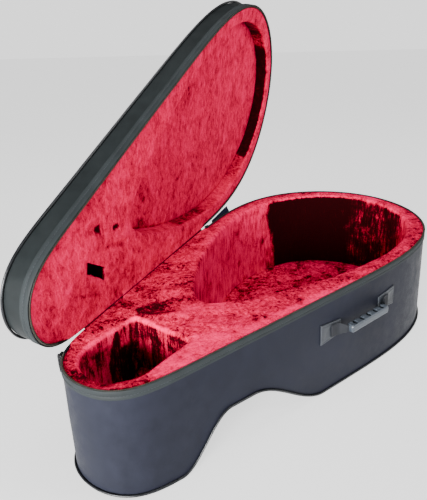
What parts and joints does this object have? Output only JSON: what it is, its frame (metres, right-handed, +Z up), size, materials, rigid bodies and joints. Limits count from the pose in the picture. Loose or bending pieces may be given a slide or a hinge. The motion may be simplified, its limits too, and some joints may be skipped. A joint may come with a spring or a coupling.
{
  "type": "oud case",
  "caption": "Pear-shaped hard case for a short-necked lute, with a plush-lined bowl cavity and pegbox well, a hinged zip-round lid and a side carrying handle.",
  "frame": {"origin": "on the flat underside of the bowl, on the centre line, 560 mm from the narrow tip along the rim", "axes": "+X along the case to its wide end, +Y to the hinge side, +Z up with the case standing on its bowl and peg foot"},
  "size_m": [0.8649, 0.4722, 0.5924],
  "materials": {
    "cover": "satin black coated nylon",
    "shell": "bare plywood",
    "plush": "crushed red velvet plush on foam",
    "tape": "black woven zip tape and webbing",
    "coil": "black nylon zip coil",
    "piping": "black vinyl piping",
    "moulding": "black moulded plastic",
    "metal": "black enamelled zinc"
  },
  "bodies": {
    "base": {"base_cover_wall": "cover", "base_cover_bottom": "cover", "base_side_near": "shell", "base_side_far": "shell", "base_bottom_panel": "shell", "base_bottom_piping": "piping", "base_zip_tape": "tape", "base_zip_coil": "coil", "bowl_padding": "plush", "bowl_floor_pad": "plush", "neck_padding": "plush", "pegbox_padding": "plush", "pegbox_floor_pad": "plush", "hinge_flap_base": "tape", "handle_patch_narrow": "moulding", "handle_patch_wide": "moulding", "zip_slider_narrow": "metal", "zip_slider_wide": "metal"},
    "lid": {"lid_cover_wall": "cover", "lid_cover_roof": "cover", "lid_side_wall": "shell", "lid_roof_panel": "shell", "lid_roof_piping": "piping", "lid_zip_tape": "tape", "lid_zip_coil": "coil", "lid_padding": "plush", "lid_recess_lining": "plush", "hinge_flap_lid": "tape"},
    "handle": {"handle_grip": "moulding", "handle_strap_narrow": "tape", "handle_strap_wide": "tape"},
    "pull_narrow": {"zip_pull_narrow": "metal"},
    "pull_wide": {"zip_pull_wide": "metal"}
  },
  "joints": [
    {"name": "lid_hinge", "type": "hinge", "parent": "base", "child": "lid", "pos_m": [-0.3792, 0.10995, 0.16812], "axis": [0.9692, 0.2441, 0.0338], "range_deg": [-15, 80]},
    {"name": "handle_swing", "type": "hinge", "parent": "base", "child": "handle", "pos_m": [-0.14259, -0.17474, 0.11265], "axis": [-0.9719, 0.2328, -0.0339], "range_deg": [0, 75], "deforming": ["handle_strap_narrow", "handle_strap_wide"]},
    {"name": "pull_narrow_swing", "type": "hinge", "parent": "base", "child": "pull_narrow", "pos_m": [-0.54037, 0.06855, 0.15729], "axis": [0.8205, 0.5709, 0.0287], "range_deg": [0, 90]},
    {"name": "pull_wide_swing", "type": "hinge", "parent": "base", "child": "pull_wide", "pos_m": [-0.08772, 0.18887, 0.1731], "axis": [0.9785, 0.2036, 0.0342], "range_deg": [0, 90]}
  ]
}
